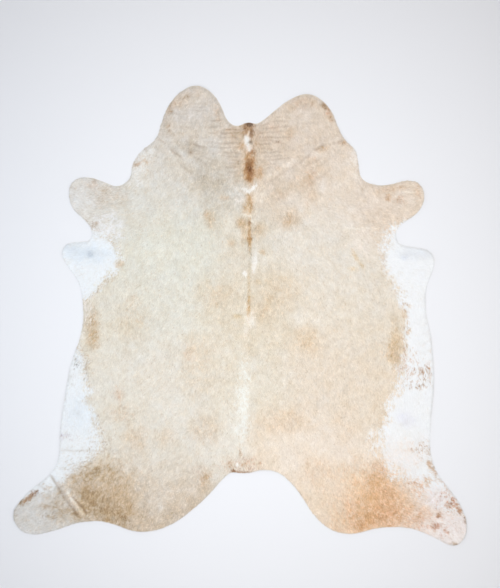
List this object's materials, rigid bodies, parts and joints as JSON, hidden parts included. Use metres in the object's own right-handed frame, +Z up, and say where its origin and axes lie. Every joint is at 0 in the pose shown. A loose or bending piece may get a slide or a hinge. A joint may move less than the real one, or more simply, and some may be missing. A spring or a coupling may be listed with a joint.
{
  "type": "cowhide",
  "caption": "Whole hair-on cowhide laid out flat as a rug, with neck lobes, forelegs, belly flaps and hind shanks, and low folds from having been rolled up.",
  "frame": {"origin": "on the floor, under the middle of the hide's bounding box", "axes": "+Z up out of the hair side, +Y along the back towards the neck, +X to the right seen from above"},
  "size_m": [2.2597, 2.2961, 0.0114],
  "materials": {
    "hair_coat": "matt, short hair lying flat on tanned skin"
  },
  "bodies": {
    "root": {"hide": "hair_coat"}
  },
  "joints": []
}
